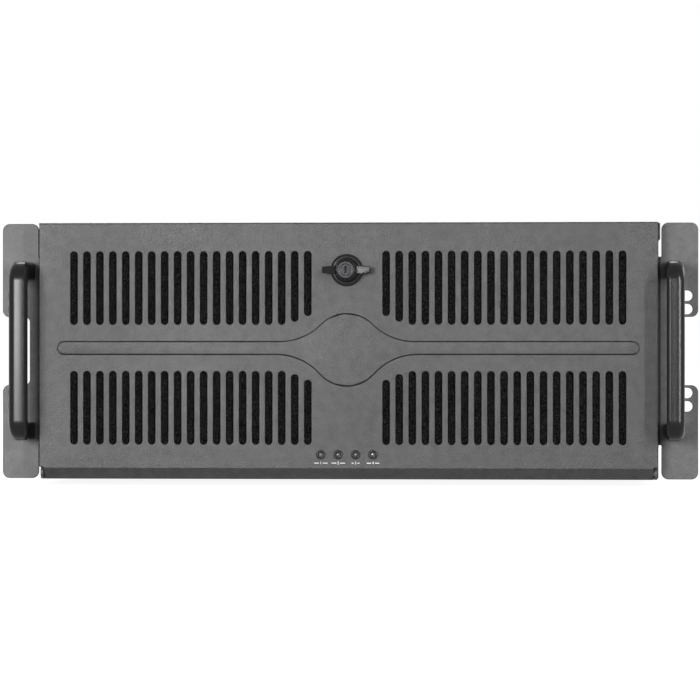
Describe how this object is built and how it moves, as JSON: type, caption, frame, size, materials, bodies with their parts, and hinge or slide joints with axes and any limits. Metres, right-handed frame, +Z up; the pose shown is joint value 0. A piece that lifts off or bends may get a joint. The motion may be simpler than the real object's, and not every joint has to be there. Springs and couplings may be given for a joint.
{
  "type": "empty rackmount server case",
  "caption": "Empty rackmount server case: folded steel tray, sliding cover, slotted drop-down front door with a wing-knob lock, rack ears and pull handles.",
  "frame": {"origin": "middle of the whole case's footprint, on the surface that it stands on", "axes": "+X to the right seen from the front, +Y to the rear (the front door faces -Y), +Z up"},
  "size_m": [0.4826, 0.502, 0.177],
  "materials": {
    "case_black": "fine-textured satin black powder coat",
    "door_black": "fine-textured satin black powder coat",
    "ear_black": "fine-textured satin black powder coat",
    "handle_black": "satin black powder coat on a solid bar",
    "zinc": "zinc-plated steel sheet",
    "screw_zinc": "bright zinc-plated screws",
    "brass": "turned brass",
    "black_plastic": "fine-textured black moulded plastic",
    "lock_black": "satin black die-cast zinc",
    "lock_core": "dull die-cast metal",
    "foam": "open-cell dark grey filter foam",
    "rubber": "soft black rubber",
    "lens": "clear moulded lamp lens",
    "board": "green circuit board laminate"
  },
  "bodies": {
    "case": {"chassis_tray": "case_black", "rear_panel": "case_black", "slot_covers": "zinc", "slot_rail": "zinc", "front_panel": "case_black", "fan_frame": "black_plastic", "drive_cage": "zinc", "bay_cover_1": "black_plastic", "bay_cover_2": "black_plastic", "bay_cover_3": "black_plastic", "button_housing": "black_plastic", "usb_ports": "black_plastic", "disk_cage": "zinc", "hold_down_bar": "zinc", "hold_down_pads": "rubber", "board_standoffs": "brass", "ear_right": "ear_black", "ear_left": "ear_black", "handle_right": "handle_black", "handle_left": "handle_black", "hinge_bracket_right": "case_black", "hinge_bracket_left": "case_black", "hinge_pins": "screw_zinc"},
    "lid": {"top_cover": "case_black", "thumb_screws": "screw_zinc"},
    "door": {"door_panel": "door_black", "filter_retainer_right": "zinc", "filter_retainer_left": "zinc", "filter_right": "foam", "filter_left": "foam", "lock_housing": "lock_black", "lock_nut": "screw_zinc", "lamp_bezels": "black_plastic", "lamps": "lens", "lamp_board": "board"},
    "knob": {"lock_knob": "lock_black", "lock_cylinder": "lock_core", "lock_cam": "screw_zinc"},
    "plug": {"lock_plug": "lock_core"},
    "rotor": {"fan_rotor": "black_plastic"},
    "power": {"power_button": "black_plastic"},
    "reset": {"reset_button": "black_plastic"}
  },
  "joints": [
    {"name": "front_door", "type": "hinge", "parent": "case", "child": "door", "pos_m": [0, -0.216, 0.0046], "axis": [1, 0, 0], "range_deg": [0, 90]},
    {"name": "knob_turn", "type": "hinge", "parent": "door", "child": "knob", "pos_m": [0, -0.224, 0.1441], "axis": [0, 1, 0], "range_deg": [0, 90]},
    {"name": "key_turn", "type": "hinge", "parent": "knob", "child": "plug", "pos_m": [0, -0.224, 0.1441], "axis": [0, 1, 0], "range_deg": [0, 90]},
    {"name": "cover_slide", "type": "slide", "parent": "case", "child": "lid", "axis": [0, 1, 0], "range_m": [0, 0.465]},
    {"name": "fan_spin", "type": "hinge", "parent": "case", "child": "rotor", "pos_m": [-0.12, -0.207, 0.086], "axis": [0, 1, 0], "continuous": true},
    {"name": "power_press", "type": "slide", "parent": "case", "child": "power", "axis": [0, 1, 0], "range_m": [0, 0.002], "stiffness_N_per_m": 400},
    {"name": "reset_press", "type": "slide", "parent": "case", "child": "reset", "axis": [0, 1, 0], "range_m": [0, 0.002], "stiffness_N_per_m": 300}
  ]
}
